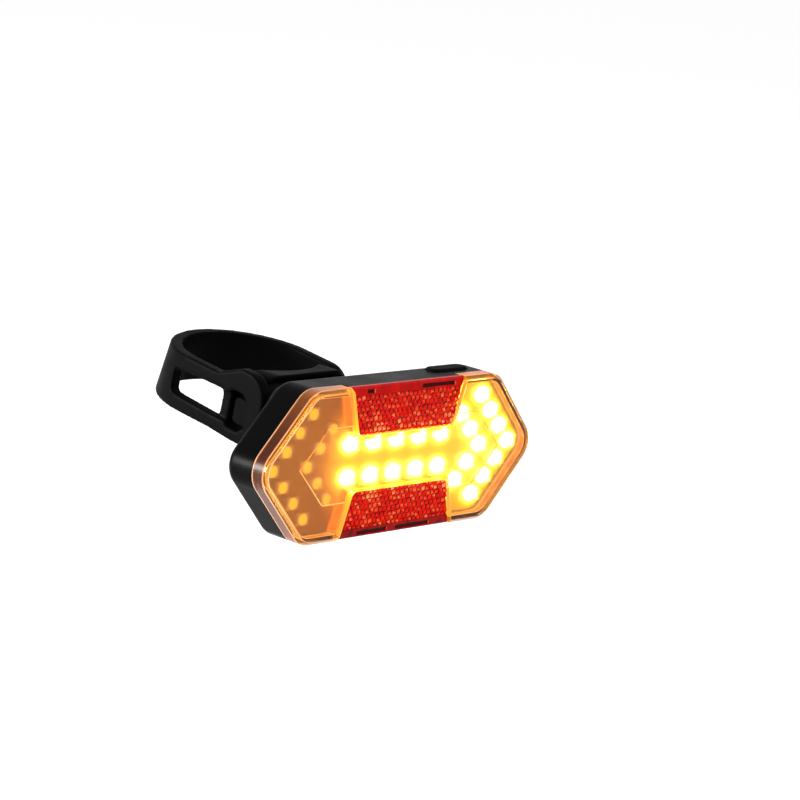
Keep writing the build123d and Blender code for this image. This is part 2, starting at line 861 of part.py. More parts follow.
# Rubber strap round the post: on the left a long slot, a rung and a slot for the hook,
# on the right an eye for the stud
with BuildPart() as strap:
    with BuildSketch(post_plane):
        Circle(strap_outer)
        with Locations((0, -strap_end_reach)):
            Rectangle(2 * strap_outer, 2 * strap_end_reach)
        Circle(grip_radius, mode=Mode.SUBTRACT)
        with Locations((0, -strap_end_reach)):
            Rectangle(2 * grip_radius, 2 * strap_end_reach, mode=Mode.SUBTRACT)
    extrude(amount=2 * strap_end_width, both=True)
    left_half = strap_half(-1, tab_shape, strap_end_round)
    right_half = strap_half(1, eye_shape, eye_round)
    add(left_half + right_half, mode=Mode.INTERSECT)
    with BuildSketch(strap_plane) as long_slot:
        with BuildLine():
            Polyline(
                (long_slot_start, long_slot_height / 2),
                (long_slot_end, long_slot_end_height / 2),
                (long_slot_end, -long_slot_end_height / 2),
                (long_slot_start, -long_slot_height / 2),
                close=True,
            )
        make_face()
        fillet(long_slot.vertices(), slot_round)
    extrude(amount=-screen, mode=Mode.SUBTRACT)
    with BuildSketch(strap_plane):
        with Locations((hook_slot_start + hook_slot_length / 2, 0)):
            RectangleRounded(hook_slot_length, hook_slot_height, slot_round)
    extrude(amount=-screen, mode=Mode.SUBTRACT)
    with BuildSketch(strap_plane.offset(rung_recess - strap_outer)):
        with Locations((rung_start + rung_length / 2, 0)):
            Rectangle(rung_length + 2 * slot_round, long_slot_height)
    extrude(amount=-strap_thickness, mode=Mode.SUBTRACT)
    with BuildSketch(strap_plane.offset(hook_nose_thickness + hook_play - hook_out)):
        with Locations((hook_slot_start, 0)):
            RectangleRounded(2 * hook_nose, hook_height + 4 * hook_play, hook_nose / 2)
    extrude(amount=-strap_thickness, mode=Mode.SUBTRACT)
    with BuildSketch(strap_plane):
        with Locations((-stud_reach, 0)):
            Circle(stud_radius + hook_play)
    extrude(amount=screen, mode=Mode.SUBTRACT)
    with BuildSketch(strap_plane.offset(stud_out - stud_head_thickness - hook_play)):
        with Locations((-stud_reach, 0)):
            Circle(stud_head_radius + hook_play)
    extrude(amount=strap_thickness, mode=Mode.SUBTRACT)
strap.part.label = "strap"
export_step(strap.part, "parts/strap.step")
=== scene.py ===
import math

import bmesh
import bpy
import numpy as np
from bpy.props import FloatProperty, FloatVectorProperty, IntProperty, PointerProperty
from mathutils import Euler, Matrix, Vector


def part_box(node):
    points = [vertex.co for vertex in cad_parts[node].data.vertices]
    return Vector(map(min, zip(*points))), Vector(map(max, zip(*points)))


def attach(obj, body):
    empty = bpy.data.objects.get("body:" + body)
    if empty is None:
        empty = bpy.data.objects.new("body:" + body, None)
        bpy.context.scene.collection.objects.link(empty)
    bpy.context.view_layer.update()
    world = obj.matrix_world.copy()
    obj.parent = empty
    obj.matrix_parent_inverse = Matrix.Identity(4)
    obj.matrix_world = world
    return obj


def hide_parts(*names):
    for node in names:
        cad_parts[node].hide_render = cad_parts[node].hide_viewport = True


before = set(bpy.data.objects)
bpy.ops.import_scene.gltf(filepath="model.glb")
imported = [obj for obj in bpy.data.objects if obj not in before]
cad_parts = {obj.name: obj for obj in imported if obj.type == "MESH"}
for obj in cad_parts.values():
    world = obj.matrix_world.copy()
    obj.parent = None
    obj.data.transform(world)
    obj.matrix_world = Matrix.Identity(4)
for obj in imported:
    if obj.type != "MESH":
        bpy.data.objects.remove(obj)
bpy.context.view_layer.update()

bl_info = {
    "name": "Strap-mounted tail light",
    "version": (1, 0, 0),
    "blender": (4, 5, 0),
    "location": "3D View > Sidebar > Tail light",
    "description": "Finishes a tail light: lens, diodes, reflectors, housing and strap",
    "category": "Object",
}

MM = 0.001

# The light's own place in the frame: the middle of its lens, on the parting plane
LENS_LOW, LENS_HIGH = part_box("lens_cover")
LIGHT_CENTRE = Vector((
    (LENS_LOW.x + LENS_HIGH.x) / 2, LENS_HIGH.y, (LENS_LOW.z + LENS_HIGH.z) / 2))

# Distances under which vertices become one, and under which a cut keeps the vertex it meets
MERGE_GAP = 0.001 * MM
CELL_MERGE_GAP = 0.02 * MM
CUT_GAP = 1e-7

# Angle up to which neighbouring faces are one flat face, and the least share of the Y
# direction in the normal of a face that looks forwards or backwards
FLAT_ANGLE = math.radians(0.8)
SQUARE_ON = 0.9

# Camera that took the photograph's view: its place and its right and forward directions
CAMERA_PLACE = Vector((-0.45808, -0.46208, 0.13543))
CAMERA_RIGHT = Vector((0.68091, -0.72402, 0.11024))
CAMERA_FORWARD = Vector((0.72836, 0.65375, -0.20518))

# What sorts the cover's faces: the Y part of the normal of the front, of the chamfer round it,
# of upright walls and of inner faces, then the depth of its foot, how far the arrow step and
# its edge reach in depth, and how far a reflector's frame reaches past the reflector
FRONT_FACING = -0.95
CHAMFER_FACING = (-0.78, -0.62)
UPRIGHT_FACING = 0.1
INNER_FACING = 0.5
FOOT_DEPTH = 1.5 * MM
ARROW_DEPTH_ERROR = 0.05 * MM
ARROW_EDGE = 0.6 * MM
FRAME_WIDTH = 1.0 * MM

# Board: its mesh cells and shortest outline side, then the painted light on it, a halo from all
# lit diodes together and a core over each of them, with lengths in millimetres
BOARD_CELL = 0.45 * MM
SHORTEST_SIDE = 0.05 * MM
HALO_SHARE = 0.66
HALO_SPREAD = 4.0
HALO_SOFTNESS = 0.05
CORE_RADIUS = 2.5
CORE_STRETCH = 1.25

# Reflectors: direction in which their facets get a painted highlight, and the shares of
# direction, chance and cloud in a facet's tone, with the painted light that the lit shaft adds
# and how far from it
GLINT_DIRECTION = (-0.9, -0.1, 0.1)
LEAN_SHARE, CHANCE_SHARE, CLOUD_SHARE = 0.8, 0.5, 0.35
PAINTED_SHAFT_LIGHT, PAINTED_SHAFT_LIGHT_FROM, PAINTED_SHAFT_LIGHT_TO = 0.13, 7.0 * MM, 11.5 * MM

# Reflectors' plain bands: tones of the bands and of the slot floors, width of a slot's wall
# and its depth, and the slots: left and right ends, then near and far edges from the band's
# outer edge, in millimetres
BAND_TONES = {"upper_reflector": 0.35, "lower_reflector": 0.1}
SLOT_TONE = -1.0
SLOT_WALL = 0.1 * MM
SLOT_DEPTH = 0.4 * MM
CLIP_SLOTS = {
    "upper_reflector": ((-13.4, -10.8, 0.8, 1.75), (4.6, 15.8, 0.8, 1.75)),
    "lower_reflector": ((-12.0, -2.0, 0.5, 1.5), (0.5, 12.0, 0.5, 1.5)),
}

# Stage: half of the floor's width, its own light, and the lamps with their places, shares of
# the key lamp's power and widths
FLOOR_HALF = 6.0
FLOOR_LIGHT = 0.45
LAMPS = (
    ("key", Vector((-0.9, -0.9, 1.1)), 1.0, 0.7),
    ("fill", Vector((0.9, -0.9, 0.5)), 0.35, 0.8),
    ("rim", Vector((-0.81, 0.66, 0.13)), 2.6, 0.28),
)


def linear(hex_colour):
    """Linear RGBA of an sRGB hex colour."""
    channels = [int(hex_colour[i:i + 2], 16) / 255 for i in (1, 3, 5)]
    return (*(c / 12.92 if c <= 0.04045 else ((c + 0.055) / 1.055) ** 2.4 for c in channels), 1.0)


def feed(tree, node, inputs):
    """Sets a node's inputs; one that is given another node's socket is linked."""
    for name, value in inputs.items():
        if isinstance(value, bpy.types.NodeSocket):
            tree.links.new(value, node.inputs[name])
        else:
            node.inputs[name].default_value = value


def add_node(tree, kind, inputs=None, **settings):
    """Adds a node with its settings and inputs."""
    node = tree.nodes.new(kind)
    for name, value in settings.items():
        setattr(node, name, value)
    feed(tree, node, inputs or {})
    return node


def per_mm(size):
    """Scale of a pattern on Object coordinates whose features are this many millimetres wide."""
    return 1 / (size * MM)


class LensSettings(bpy.types.PropertyGroup):
    """Clear cover over the diodes."""

    edge_round: FloatProperty(
        name="Edge round", description="Radius along the edges of the cover",
        default=0.18 * MM, unit="LENGTH")
    foot_line: FloatProperty(
        name="Foot line", description="Width of the bright line along the foot of the cover",
        default=0.45 * MM, unit="LENGTH")
    tint: FloatVectorProperty(
        name="Tint", description="Colour of the clear plastic",
        subtype="COLOR", size=4, default=linear("#FFDA9E"))
    edge_tint: FloatVectorProperty(
        name="Edge tint", description="Colour of the plastic seen along its length, at its edges",
        subtype="COLOR", size=4, default=linear("#FFB65C"))
    # Wall tint: darkened as painted shade over what shows through the outer walls
    wall_tint: FloatVectorProperty(
        name="Wall tint", description="Colour of the plastic seen through its outer walls",
        subtype="COLOR", size=4, default=linear("#501A04"))
    haze: FloatProperty(
        name="Arrow haze", description="Roughness of the etched arrow inside the cover",
        default=0.32, subtype="FACTOR")
    # Painted glow: an emission in the plastic in place of the light of the lit diodes caught in
    # it
    glow: FloatVectorProperty(
        name="Glow", description="Colour of the light caught in the plastic near lit diodes",
        subtype="COLOR", size=4, default=(1.0, 0.36, 0.03, 1.0))
    # Painted bright line along the rounded edges, an emission
    painted_line_glow: FloatVectorProperty(
        name="Edge line", description="Colour of the bright line along the rounded edges",
        subtype="COLOR", size=4, default=(1.0, 0.58, 0.32, 1.0))


class DiodeSettings(bpy.types.PropertyGroup):
    """Diodes on the lamp board and the painted light that they throw on it."""

    body_length: FloatProperty(
        name="Body length", description="Length of a diode along the light",
        default=3.5 * MM, unit="LENGTH")
    body_width: FloatProperty(
        name="Body width", description="Width of a diode across the light",
        default=2.8 * MM, unit="LENGTH")
    body_height: FloatProperty(
        name="Body height", description="Height of a diode over the board",
        default=0.8 * MM, unit="LENGTH")
    rim: FloatProperty(
        name="Rim", description="Pale plastic left round the resin of a diode",
        default=0.1 * MM, unit="LENGTH")
    # Strength of the painted light on the board, an emission
    painted_glow_strength: FloatProperty(
        name="Glow strength", description="Strength of the light on the board", default=1.35)
    lit_colour: FloatVectorProperty(
        name="Lit colour", description="Colour of a lit diode",
        subtype="COLOR", size=4, default=(1.0, 0.58, 0.16, 1.0))
    lit_strength: FloatProperty(
        name="Lit strength", description="Strength of a lit diode", default=48.0)


class ReflectorSettings(bpy.types.PropertyGroup):
    """Prisms of the red reflectors."""

    pitch: FloatProperty(
        name="Pitch", description="Width of one corner prism across its flats",
        default=1.4 * MM, unit="LENGTH")
    relief: FloatProperty(
        name="Relief", description="Share of a prism's real depth that shows through the acrylic",
        default=0.42, subtype="FACTOR")
    columns: IntProperty(
        name="Columns", description="Prisms along the sheet that a reflector is cut from",
        default=34)
    rows: IntProperty(
        name="Rows", description="Prisms across the sheet that a reflector is cut from",
        default=21)
    sheet_thickness: FloatProperty(
        name="Sheet thickness", description="Thickness of the sheet that a reflector is cut from",
        default=5.0 * MM, unit="LENGTH")
    smooth_band: FloatProperty(
        name="Smooth band", description="Width of the plain band along the outer edge",
        default=2.1 * MM, unit="LENGTH")
    red: FloatVectorProperty(
        name="Red", description="Colour of the acrylic",
        subtype="COLOR", size=4, default=linear("#D20E08"))


class BodySettings(bpy.types.PropertyGroup):
    """Black parts: housing, button, bracket, pad and strap."""

    housing_round: FloatProperty(
        name="Housing edge round", description="Radius along the sharp edges of the housing",
        default=0.3 * MM, unit="LENGTH")
    nylon_round: FloatProperty(
        name="Nylon edge round", description="Radius along the edges of bracket and rail",
        default=0.25 * MM, unit="LENGTH")
    silicone_round: FloatProperty(
        name="Silicone edge round", description="Radius along the edges of button and cover",
        default=0.15 * MM, unit="LENGTH")
    cell: FloatProperty(
        name="Rubber cell", description="Size of the mesh cells of the soft rubber parts",
        default=0.26 * MM, unit="LENGTH")
    strap_passes: IntProperty(
        name="Strap softness", description="Passes that round the strap's edges", default=14)
    pad_passes: IntProperty(
        name="Pad softness", description="Passes that round the pad's edges", default=8)


class StageSettings(bpy.types.PropertyGroup):
    """Floor, lamps and camera."""

    floor_drop: FloatProperty(
        name="Floor drop", description="Height of the post clamp over the floor",
        default=0.16, unit="LENGTH")
    lens_mm: FloatProperty(
        name="Focal length", description="Focal length in millimetres", default=126.0)
    key_power: FloatProperty(name="Key lamp", description="Power of the key lamp in watts",
                             default=9.0)
    world_strength: FloatProperty(
        name="World light", description="Strength of the even light from all round",
        default=0.55)


def merged_copy(node):
    """A closed copy of a CAD node's mesh, its flat faces whole again."""
    bm = bmesh.new()
    bm.from_mesh(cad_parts[node].data)
    bmesh.ops.remove_doubles(bm, verts=bm.verts, dist=MERGE_GAP)
    bmesh.ops.dissolve_limit(
        bm, angle_limit=FLAT_ANGLE, verts=bm.verts, edges=bm.edges,
        delimit={"NORMAL"})
    return bm


def bisect(bm, point, normal, clear_outer=False):
    """Cuts a bmesh along a plane and returns the edges and vertices of the cut."""
    return bmesh.ops.bisect_plane(
        bm, geom=bm.verts[:] + bm.edges[:] + bm.faces[:], plane_co=point, plane_no=normal,
        clear_outer=clear_outer, dist=CUT_GAP)["geom_cut"]


def cut_away(bm, point, outwards):
    """Removes what lies beyond a plane and closes the cut."""
    rims = [e for e in bisect(bm, point, outwards, clear_outer=True)
            if isinstance(e, bmesh.types.BMEdge)]
    bmesh.ops.holes_fill(bm, edges=rims)


def mesh_from(bm, name):
    """Turns a bmesh into a named mesh and frees it."""
    mesh = bpy.data.meshes.new(name)
    bm.to_mesh(mesh)
    bm.free()
    return mesh


def new_object(name, mesh):
    """Links a new object with this mesh to the scene."""
    obj = bpy.data.objects.new(name, mesh)
    bpy.context.scene.collection.objects.link(obj)
    return obj


def baked_mesh(obj, name):
    """The object's mesh with its modifiers applied; the object and its own mesh are removed."""
    graph = bpy.context.evaluated_depsgraph_get()
    mesh = bpy.data.meshes.new_from_object(
        obj.evaluated_get(graph), preserve_all_data_layers=True, depsgraph=graph)
    mesh.name = name
    raw = obj.data
    bpy.data.objects.remove(obj)
    bpy.data.meshes.remove(raw)
    return mesh


def rounded(mesh, radius, segments=3, sharp_from=32):
    """The mesh with its sharp edges rounded off and its curved faces smooth."""
    obj = new_object(mesh.name + "_raw", mesh)
    bevel = obj.modifiers.new("Edge round", "BEVEL")
    bevel.width = radius
    bevel.segments = segments
    bevel.limit_method = "ANGLE"
    bevel.angle_limit = math.radians(sharp_from)
    bevel.miter_outer = "MITER_ARC"
    weighted = obj.modifiers.new("Flat faces", "WEIGHTED_NORMAL")
    weighted.keep_sharp = True
    mesh.shade_smooth()
    return baked_mesh(obj, mesh.name)


def moulded(mesh, cell, passes):
    """The mesh as soft rubber comes out of its mould: every edge and inner corner rounded."""
    obj = new_object(mesh.name + "_raw", mesh)
    remesh = obj.modifiers.new("Even cells", "REMESH")
    remesh.mode = "VOXEL"
    remesh.voxel_size = cell
    remesh.use_smooth_shade = True
    soft = obj.modifiers.new("Soft edges", "SMOOTH")
    soft.factor = 0.5
    soft.iterations = passes
    return baked_mesh(obj, mesh.name)


def place(name, mesh, materials, body, slot, *nodes):
    """Makes the finished piece, which stands for the named CAD nodes."""
    for material in materials:
        mesh.materials.append(material)
    obj = new_object(name, mesh)
    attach(obj, body)
    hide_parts(*nodes)


def paint(node, material):
    """Gives a CAD node that keeps its own mesh its finish."""
    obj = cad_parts[node]
    obj.data.materials.clear()
    obj.data.materials.append(material)


def geometry_tree(name, inputs):
    """A new Geometry Nodes tree with named inputs, and its input and output nodes."""
    tree = bpy.data.node_groups.new(name, "GeometryNodeTree")
    tree.interface.new_socket(name="Geometry", in_out="INPUT",
                              socket_type="NodeSocketGeometry")
    for label, kind in inputs:
        tree.interface.new_socket(name=label, in_out="INPUT", socket_type=kind)
    tree.interface.new_socket(name="Geometry", in_out="OUTPUT",
                              socket_type="NodeSocketGeometry")
    return tree, tree.nodes.new("NodeGroupInput"), tree.nodes.new("NodeGroupOutput")


def grow(name, tree, values, base=None):
    """Runs a Geometry Nodes tree on a base mesh and returns a plain mesh."""
    obj = new_object(name + "_raw", base or bpy.data.meshes.new(name + "_raw"))
    modifier = obj.modifiers.new("Nodes", "NODES")
    modifier.node_group = tree
    for item in tree.interface.items_tree:
        if item.in_out == "INPUT" and item.name in values:
            modifier[item.identifier] = values[item.name]
    return baked_mesh(obj, name)


def math_node(tree, operation, first, second=0.0):
    """Output of a Math node."""
    node = add_node(tree, "ShaderNodeMath", {0: first, 1: second}, operation=operation)
    return node.outputs[0]


def ramp(tree, level, stops):
    """Colour from a level by way of (position, colour) stops, from low to high."""
    node = add_node(tree, "ShaderNodeValToRGB", {"Fac": level})
    first, last = node.color_ramp.elements
    first.position, first.color = stops[0]
    last.position, last.color = stops[-1]
    for position, colour in stops[1:-1]:
        node.color_ramp.elements.new(position).color = colour
    return node.outputs["Color"]


def join(tree, *parts):
    """Several geometries as one."""
    node = tree.nodes.new("GeometryNodeJoinGeometry")
    for part in parts:
        tree.links.new(part, node.inputs["Geometry"])
    return node.outputs["Geometry"]


def copies(tree, mesh, instance):
    """Real copies of a geometry on the vertices of a mesh."""
    points = add_node(tree, "GeometryNodeMeshToPoints", {"Mesh": mesh})
    placed = add_node(tree, "GeometryNodeInstanceOnPoints", {
        "Points": points.outputs["Points"], "Instance": instance})
    real = add_node(tree, "GeometryNodeRealizeInstances", {
        "Geometry": placed.outputs["Instances"]})
    return real.outputs["Geometry"]


# Materials


def shader_base(name):
    """A new material's tree, its Principled shader and its Object coordinates."""
    material = bpy.data.materials.new(name)
    material.use_nodes = True
    tree = material.node_tree
    shader = next(n for n in tree.nodes if n.type == "BSDF_PRINCIPLED")
    coords = tree.nodes.new("ShaderNodeTexCoord").outputs["Object"]
    return material, tree, shader, coords


def grained(name, low, high, grain_mm, roughness, spread, bump_mm, specular=0.5):
    """Moulded finish: two close colours, a fine grain in the bump and uneven roughness."""
    material, tree, shader, coords = shader_base(name)
    cloud = add_node(tree, "ShaderNodeTexNoise",
                     {"Vector": coords, "Scale": per_mm(9.0), "Detail": 3.0})
    grain = add_node(tree, "ShaderNodeTexNoise",
                     {"Vector": coords, "Scale": per_mm(grain_mm), "Detail": 4.0,
                      "Roughness": 0.6})
    tone = ramp(tree, grain.outputs["Fac"], ((0.35, linear(low)), (0.65, linear(high))))
    rough = add_node(tree, "ShaderNodeMapRange",
                     {"Value": cloud.outputs["Fac"], "From Min": 0.3, "From Max": 0.7,
                      "To Min": roughness - spread, "To Max": roughness + spread})
    bump = add_node(tree, "ShaderNodeBump",
                    {"Height": grain.outputs["Fac"], "Strength": 0.5,
                     "Distance": bump_mm * MM})
    feed(tree, shader, {
        "Base Color": tone, "Roughness": rough.outputs["Result"],
        "Normal": bump.outputs["Normal"], "Specular IOR Level": specular})
    return material


def let_lamps_through(material, tree, shader):
    """Lamps and soft light pass the clear plastic straight, so what it covers is lit."""
    path = tree.nodes.new("ShaderNodeLightPath")
    either = math_node(tree, "MAXIMUM", path.outputs["Is Shadow Ray"],
                       path.outputs["Is Diffuse Ray"])
    clear = add_node(tree, "ShaderNodeBsdfTransparent")
    mixed = add_node(tree, "ShaderNodeMixShader",
                     {"Fac": either, 1: shader.outputs["BSDF"], 2: clear.outputs["BSDF"]})
    output = next(n for n in tree.nodes if n.type == "OUTPUT_MATERIAL")
    tree.links.new(mixed.outputs["Shader"], output.inputs["Surface"])


def clear_polycarbonate(name, glow, tint, roughness, by_unlit, by_lit, pebble=0.1):
    """Moulded polycarbonate: clear, glossy or pebbled, with a painted amber glow inside it.

    The painted glow has one strength by the unlit arrow and another from the lit shaft onwards.
    """
    material, tree, shader, coords = shader_base(name)
    flow = add_node(tree, "ShaderNodeTexNoise",
                    {"Vector": coords, "Scale": per_mm(0.7), "Detail": 3.0})
    bump = add_node(tree, "ShaderNodeBump",
                    {"Height": flow.outputs["Fac"], "Strength": pebble, "Distance": 0.08 * MM})
    across = add_node(tree, "ShaderNodeSeparateXYZ", {"Vector": coords})
    # Painted glow: an amber emission, weaker by the unlit arrow and stronger from the lit shaft
    # onwards
    level = add_node(tree, "ShaderNodeMapRange", {
        "Value": across.outputs["X"], "From Min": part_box("left_arrow_leds")[0].x,
        "From Max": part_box("shaft_leds")[0].x, "To Min": by_unlit, "To Max": by_lit},
        interpolation_type="SMOOTHSTEP")
    amber = add_node(tree, "ShaderNodeVectorMath", {
        0: tuple(glow[:3]), "Scale": level.outputs["Result"]}, operation="SCALE")
    feed(tree, shader, {
        "Base Color": tint, "Roughness": roughness, "IOR": 1.58,
        "Specular Tint": linear("#2A1A0C"), "Transmission Weight": 1.0,
        "Normal": bump.outputs["Normal"], "Emission Color": amber.outputs["Vector"],
        "Emission Strength": 1.0})
    let_lamps_through(material, tree, shader)
    return material


def red_acrylic(name, red):
    """Dyed acrylic with corner prisms: deep red facets, some orange, a few with a painted pale
    glint.
    """
    material, tree, shader, coords = shader_base(name)
    facing = tree.nodes.new("ShaderNodeNewGeometry").outputs["Normal"]
    # Painted shade and highlight: facets that face the glint direction are lighter
    lean = add_node(tree, "ShaderNodeVectorMath", {0: facing, 1: GLINT_DIRECTION},
                    operation="DOT_PRODUCT")
    cloud = add_node(tree, "ShaderNodeTexNoise",
                     {"Vector": coords, "Scale": per_mm(2.5), "Detail": 2.0})
    facet = add_node(tree, "ShaderNodeAttribute", attribute_name="facet")
    level = math_node(
        tree, "ADD", math_node(tree, "MULTIPLY", lean.outputs["Value"], LEAN_SHARE),
        math_node(tree, "MULTIPLY", facet.outputs["Fac"], CHANCE_SHARE))
    level = math_node(tree, "ADD", level, math_node(
        tree, "MULTIPLY", math_node(tree, "SUBTRACT", cloud.outputs["Fac"], 0.5), CLOUD_SHARE))
    # Painted light from the lit shaft: facets near its height are lighter
    height = add_node(tree, "ShaderNodeSeparateXYZ", {"Vector": coords}).outputs["Z"]
    from_lit = math_node(tree, "ABSOLUTE", math_node(tree, "SUBTRACT", height, LIGHT_CENTRE.z))
    shaft_light_level = add_node(tree, "ShaderNodeMapRange", {
        "Value": from_lit, "From Min": PAINTED_SHAFT_LIGHT_FROM, "From Max": PAINTED_SHAFT_LIGHT_TO,
        "To Min": PAINTED_SHAFT_LIGHT, "To Max": 0.0})
    level = math_node(tree, "ADD", level, shaft_light_level.outputs["Result"])
    # Darkest stops are painted shade, palest stops painted glints
    tone = ramp(tree, level, (
        (0.0, tuple(c * 0.06 for c in red[:3]) + (1,)),
        (0.12, tuple(c * 0.4 for c in red[:3]) + (1,)), (0.35, red),
        (0.7, (0.85, 0.02, 0.008, 1)), (0.85, (0.95, 0.1, 0.03, 1)),
        (1.0, (1, 0.38, 0.12, 1))))
    feed(tree, shader, {
        "Base Color": tone, "IOR": 1.49, "Roughness": 0.2, "Specular IOR Level": 0.05})
    return material


def lamp_board(name, settings):
    """Solder mask over glass-fibre board: brown and mottled, with painted amber light near the
    lit diodes.
    """
    material, tree, shader, coords = shader_base(name)
    mottle = add_node(tree, "ShaderNodeTexNoise",
                      {"Vector": coords, "Scale": per_mm(1.0), "Detail": 5.0,
                       "Roughness": 0.7})
    tone = ramp(tree, mottle.outputs["Fac"],
                ((0.3, linear("#2E1A0C")), (0.7, linear("#885426"))))
    glow = add_node(tree, "ShaderNodeAttribute", attribute_name="glow")
    # Painted light of the diodes: an emission from dark through amber and yellow to a white core
    light = ramp(tree, glow.outputs["Fac"], (
        (0.0, (0.02, 0.01, 0.004, 1)), (0.13, (0.06, 0.025, 0.001, 1)),
        (0.2, (0.14, 0.05, 0.001, 1)), (0.3, (0.18, 0.055, 0, 1)),
        (0.39, (0.35, 0.13, 0, 1)), (0.5, (0.62, 0.3, 0, 1)), (0.65, (0.9, 0.52, 0, 1)),
        (0.8, (1.2, 1.0, 0, 1)), (0.92, (1.6, 1.6, 0.1, 1)), (1.0, (6, 7, 9, 1))))
    feed(tree, shader, {
        "Base Color": tone, "Roughness": 0.45, "Specular IOR Level": 0.1,
        "Emission Color": light, "Emission Strength": settings.painted_glow_strength})
    return material


def resin(name, colour, strength, lit):
    """Dyed casting resin over a diode's chip: soft gloss, and an emission: a lit diode's own
    light, or a painted glow.
    """
    material, tree, shader, coords = shader_base(name)
    cloud = add_node(tree, "ShaderNodeTexNoise",
                     {"Vector": coords, "Scale": per_mm(0.8), "Detail": 2.0})
    tone = add_node(tree, "ShaderNodeMix",
                    {"Factor": cloud.outputs["Fac"], "A": colour,
                     "B": tuple(min(1.0, c * 1.15) for c in colour)}, data_type="RGBA")
    feed(tree, shader, {
        "Base Color": tone.outputs["Result"], "Roughness": 0.3, "Emission Color": lit,
        "Emission Strength": strength})
    return material


# Pieces


class TAILLIGHT_OT_lens(bpy.types.Operator):
    """Clear cover with rounded edges and an etched arrow inside"""

    bl_idname = "taillight.lens"
    bl_label = "Lens cover"

    def execute(self, context):
        settings = context.scene.taillight_lens
        tint, wall = tuple(settings.tint), tuple(settings.wall_tint)
        edge, haze, glow = tuple(settings.edge_tint), settings.haze, settings.glow
        looks = {
            # Clear front: only its gloss shows
            "clear": (glow, tint, 0.02, 0.0, 0.0),
            # Etched arrow step: frosted, with a faint painted amber glow over the unlit arrow
            "etched": (glow, tint, haze, 0.22, 0.0),
            # Back of the border: pebbled, it breaks up the board behind it, with a faint painted
            # glow
            "pebbled": (glow, tint, haze * 0.7, 0.14, 0.0, 0.6),
            # Inner walls and front chamfer: near clear, with a painted glow beside the lit diodes
            "inner": (glow, tint, 0.05, 0.0, 0.15),
            # Outer walls: dark amber as painted shade, with a painted glow by the lit diodes
            "wall": (glow, wall, 0.3, 0.02, 0.4),
            # Rounded edges and foot: a painted bright line, an emission in place of piped light
            "line": (settings.painted_line_glow, edge, 0.05, 0.8, 0.0),
            # Edges of the arrow and of the cut-outs: golden lines of painted glow
            "golden": (glow, edge, 0.1, 1.3, 0.45),
        }
        materials = [clear_polycarbonate("polycarbonate_" + name, *looks[name])
                     for name in looks]
        slots = list(looks)
        cover = merged_copy("lens_cover")
        seam = LENS_HIGH.y - settings.foot_line
        bisect(cover, (0, seam, 0), (0, 1, 0))
        mesh = rounded(mesh_from(cover, "lens"), settings.edge_round)
        plateau = arrow_face(mesh)
        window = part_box("upper_reflector")[1].x + FRAME_WIDTH
        for face in mesh.polygons:
            finish = lens_finish(mesh, face, plateau, window, seam)
            face.material_index = slots.index(finish)
        place("lens", mesh, materials, "light", "clear_lens", "lens_cover")
        return {"FINISHED"}


def lens_finish(mesh, face, plateau, window, seam):
    """Finish of a face of the cover, from where it lies and which way it looks."""
    middle, facing = face.center, face.normal.y
    if facing > SQUARE_ON and abs(middle.y - plateau) < ARROW_DEPTH_ERROR:
        return "etched"
    if facing > SQUARE_ON and middle.y < LENS_HIGH.y - FOOT_DEPTH:
        return "pebbled"
    if facing < FRONT_FACING:
        return "clear"
    by_arrow = all(abs(mesh.vertices[v].co.y - plateau) < ARROW_EDGE for v in face.vertices)
    if by_arrow or abs(middle.x - LIGHT_CENTRE.x) < window:
        return "golden"
    outwards = face.normal.dot(middle - LIGHT_CENTRE) > 0 and facing < INNER_FACING
    if not outwards or CHAMFER_FACING[0] < facing < CHAMFER_FACING[1]:
        return "inner"
    return "wall" if abs(facing) < UPRIGHT_FACING and middle.y < seam else "line"


def arrow_face(mesh):
    """Depth of the arrow step inside the cover, the broad inner face nearest the board."""
    areas = {}
    for face in mesh.polygons:
        if face.normal.y > SQUARE_ON and face.center.y < LENS_HIGH.y - FOOT_DEPTH:
            depth = round(face.center.y, 4)
            areas[depth] = areas.get(depth, 0) + face.area
    return max(sorted(areas, key=areas.get)[-2:])


def solid_centres(node):
    """Centres of a CAD node's separate solids."""
    bm = bmesh.new()
    bm.from_mesh(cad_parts[node].data)
    bmesh.ops.remove_doubles(bm, verts=bm.verts, dist=MERGE_GAP)
    waiting = set(bm.verts)
    centres = []
    while waiting:
        group = {waiting.pop()}
        edge_of_group = set(group)
        while edge_of_group:
            near = {e.other_vert(v) for v in edge_of_group for e in v.link_edges}
            edge_of_group = near - group
            group |= edge_of_group
        waiting -= group
        points = np.array([v.co for v in group])
        centres.append(Vector((points.min(0) + points.max(0)) / 2))
    bm.free()
    return sorted(centres, key=lambda c: (round(c.x, 5), round(c.z, 5)))


def outline_of(node):
    """Corner points of a convex node as seen from the front, in order round it."""
    points = {(round(v.co.x, 6), round(v.co.z, 6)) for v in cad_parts[node].data.vertices}
    middle = np.mean(list(points), axis=0)
    return sorted(points, key=lambda p: math.atan2(p[1] - middle[1], p[0] - middle[0]))


def painted_diode_light(mesh):
    """Strength of the painted light from the lit diodes at each vertex, from 0 to 1 over a diode.
    """
    lamps = np.array([c[:] for n in ("right_arrow_leds", "shaft_leds")
                      for c in solid_centres(n)])[:, [0, 2]]
    points = np.array([v.co for v in mesh.vertices])[:, [0, 2]]
    steps = (points[:, None] - lamps[None]) / MM
    gaps = (steps ** 2).sum(2)
    halo = HALO_SHARE * (1 - np.exp(-(1 / (gaps + HALO_SPREAD)).sum(1) / HALO_SOFTNESS))
    stretched = ((steps / (CORE_STRETCH, 1.0)) ** 2).sum(2)
    core = (1 / (1 + (stretched / CORE_RADIUS ** 2) ** 3)).max(1)
    return halo + (1 - halo) * core


